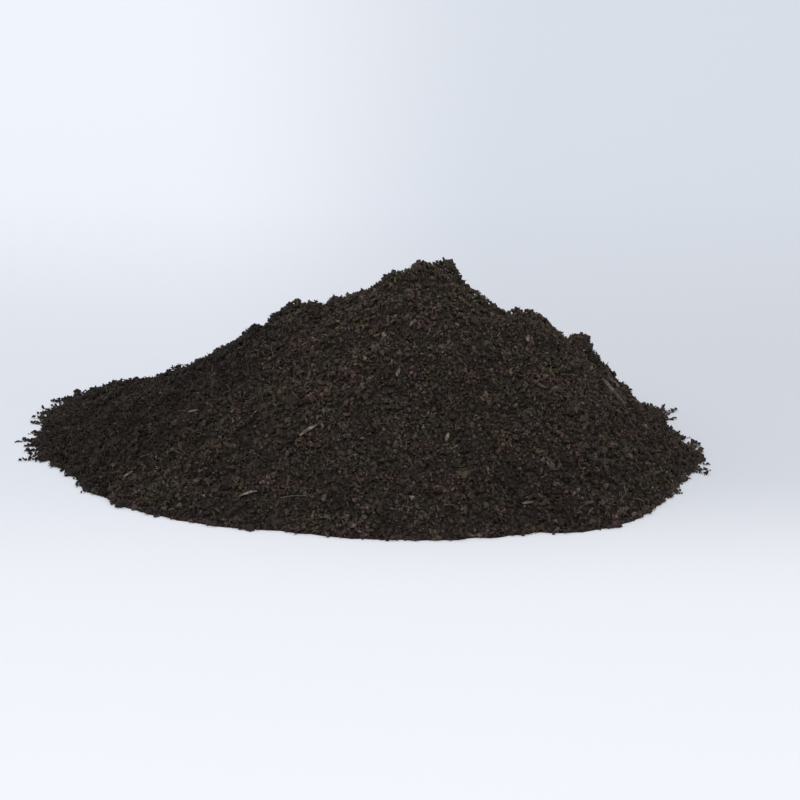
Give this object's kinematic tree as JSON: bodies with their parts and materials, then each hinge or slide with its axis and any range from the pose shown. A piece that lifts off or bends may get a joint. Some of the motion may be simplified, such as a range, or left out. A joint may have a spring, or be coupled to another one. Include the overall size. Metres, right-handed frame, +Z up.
{
  "type": "heap of compost",
  "caption": "Low, lopsided heap of dark screened garden compost tipped on a flat top, with clods, wood splinters, bark flakes and twigs on its slopes.",
  "frame": {"origin": "under the middle of the whole, on the flat top that the heap lies on", "axes": "+X along the heap's length, towards its short steep side, +Y away from the viewer, +Z up"},
  "size_m": [0.5296, 0.4964, 0.1438],
  "materials": {
    "compost": "matt, crumbly, moist",
    "crumb": "matt, crumbly",
    "pale_wood": "raw split wood",
    "bark": "raw bark",
    "twig_wood": "weathered wood"
  },
  "bodies": {
    "root": {"bark_flake_01": "bark", "bark_flake_02": "bark", "bark_flake_03": "bark", "bark_flake_04": "bark", "bark_flake_05": "bark", "bark_flake_06": "bark", "bark_flake_07": "bark", "bark_flake_08": "bark", "clod_01": "crumb", "clod_02": "crumb", "clod_03": "crumb", "clod_04": "crumb", "clod_05": "crumb", "clod_06": "crumb", "clod_07": "crumb", "clod_08": "crumb", "clod_09": "crumb", "clod_10": "crumb", "clod_11": "crumb", "clod_12": "crumb", "clod_13": "crumb", "compost_heap": "compost", "toe_crumb_01": "crumb", "toe_crumb_02": "crumb", "toe_crumb_03": "crumb", "toe_crumb_04": "crumb", "toe_crumb_05": "crumb", "toe_crumb_06": "crumb", "toe_crumb_07": "crumb", "toe_crumb_08": "crumb", "toe_crumb_09": "crumb", "toe_crumb_10": "crumb", "toe_crumb_11": "crumb", "toe_crumb_12": "crumb", "toe_crumb_13": "crumb", "toe_crumb_14": "crumb", "twig_01": "twig_wood", "twig_02": "twig_wood", "wood_fibre_01": "pale_wood", "wood_fibre_02": "pale_wood", "wood_splinter_01": "pale_wood", "wood_splinter_02": "pale_wood", "wood_splinter_03": "pale_wood", "wood_splinter_04": "pale_wood", "wood_splinter_05": "pale_wood", "wood_splinter_06": "pale_wood", "wood_splinter_07": "pale_wood", "wood_splinter_08": "pale_wood", "wood_splinter_09": "pale_wood", "wood_splinter_10": "pale_wood", "wood_splinter_11": "pale_wood"}
  },
  "joints": []
}
